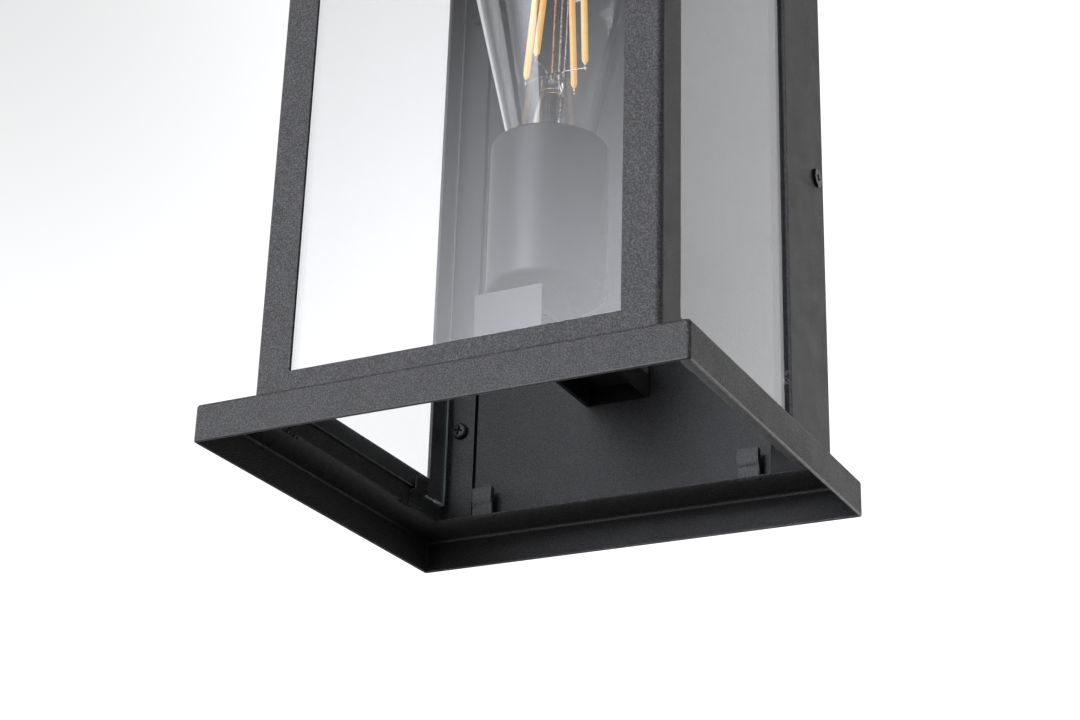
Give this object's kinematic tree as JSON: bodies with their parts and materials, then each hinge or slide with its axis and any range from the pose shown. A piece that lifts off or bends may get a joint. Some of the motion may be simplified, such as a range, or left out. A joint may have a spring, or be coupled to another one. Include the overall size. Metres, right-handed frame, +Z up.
{
  "type": "outdoor wall lantern",
  "caption": "Wall lantern with a folded-sheet cage, clear panes, open bottom, skirted base and hipped roof, and an upright filament bulb on an arm.",
  "frame": {"origin": "middle of the wall bracket's back face, in the wall plane, at the height of the two side screws", "axes": "+Y into the wall, +Z up, +X to the right seen from the front"},
  "size_m": [0.17, 0.157, 0.2898],
  "materials": {
    "black_powder_coat": "fine sand-textured powder coat, matt",
    "lamp_cup_paint": "smooth satin paint",
    "pane_glass": "clear float glass, polished edges",
    "zinc_plated_steel": "bright zinc plate",
    "ground_green": "green plated screw",
    "socket_ceramic": "glazed porcelain",
    "brass": "bare stamped brass",
    "bulb_glass": "clear blown glass",
    "bulb_nickel": "nickel-plated sheet",
    "cap_black_glass": "black vitrite glass",
    "driver_board": "solder-masked board",
    "led_phosphor": "silicone phosphor coating",
    "filament_wire": "nickel and copper wire"
  },
  "bodies": {
    "lantern": {"base_ring": "black_powder_coat", "front_frame": "black_powder_coat", "left_side_frame": "black_powder_coat", "right_side_frame": "black_powder_coat", "left_rear_angle": "black_powder_coat", "right_rear_angle": "black_powder_coat", "back_panel": "black_powder_coat", "glass_clips": "black_powder_coat", "top_tray": "black_powder_coat", "roof": "black_powder_coat", "side_screws": "black_powder_coat", "angle_screws": "black_powder_coat", "support_arm": "black_powder_coat", "arm_screws": "black_powder_coat", "nipple_spacer": "black_powder_coat", "socket_cup": "lamp_cup_paint", "front_glass": "pane_glass", "left_glass": "pane_glass", "right_glass": "pane_glass", "angle_nuts": "zinc_plated_steel", "wall_bracket": "zinc_plated_steel", "arm_nuts": "zinc_plated_steel", "nipple": "zinc_plated_steel", "nipple_nuts": "zinc_plated_steel", "lock_washer": "zinc_plated_steel", "ground_screw": "ground_green", "socket_body": "socket_ceramic", "screw_shell": "brass", "centre_contact": "brass", "contact_rivet": "brass"},
    "bulb": {"bulb_glass": "bulb_glass", "bulb_cap": "bulb_nickel", "cap_insulator": "cap_black_glass", "tip_contact": "bulb_nickel", "led_driver": "driver_board", "glass_stem": "bulb_glass", "led_filaments": "led_phosphor", "filament_wires": "filament_wire"}
  },
  "joints": [
    {"name": "bulb_lift", "type": "slide", "parent": "lantern", "child": "bulb", "axis": [0, 0, 1], "range_m": [0, 0.024]}
  ]
}
